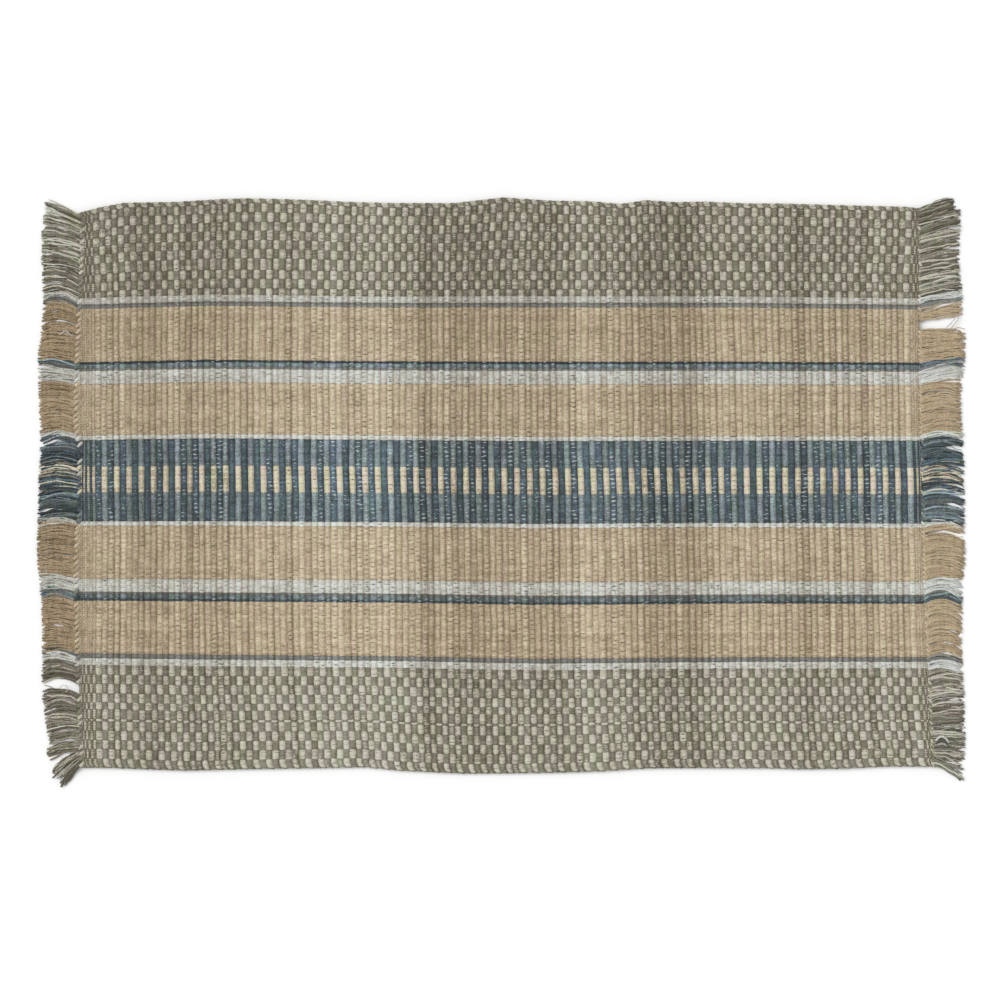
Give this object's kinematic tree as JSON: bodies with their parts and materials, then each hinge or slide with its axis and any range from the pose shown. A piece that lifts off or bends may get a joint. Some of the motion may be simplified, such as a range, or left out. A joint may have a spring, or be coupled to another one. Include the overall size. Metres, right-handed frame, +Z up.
{
  "type": "rag rug",
  "caption": "Flat woven rag rug with ribs across it, striped lengthwise in tan, blue and grey between checked borders, with knotted fringes at both ends.",
  "frame": {"origin": "middle of the rug's outline, fringes included, on the surface that it lies on", "axes": "+X along the rug's length, from the left fringe to the right fringe of the picture; +Y across it, towards the picture's upper edge; +Z up"},
  "size_m": [1.001, 0.6376, 0.0064],
  "materials": {
    "striped_warp": "matt cotton rep weave, stripes of tan, grey, navy and cream over a rag weft",
    "fringe_yarn": "matt twisted cotton yarn in the stripes' colours"
  },
  "bodies": {
    "root": {"woven_panel": "striped_warp", "fringe_left": "fringe_yarn", "fringe_right": "fringe_yarn"}
  },
  "joints": []
}
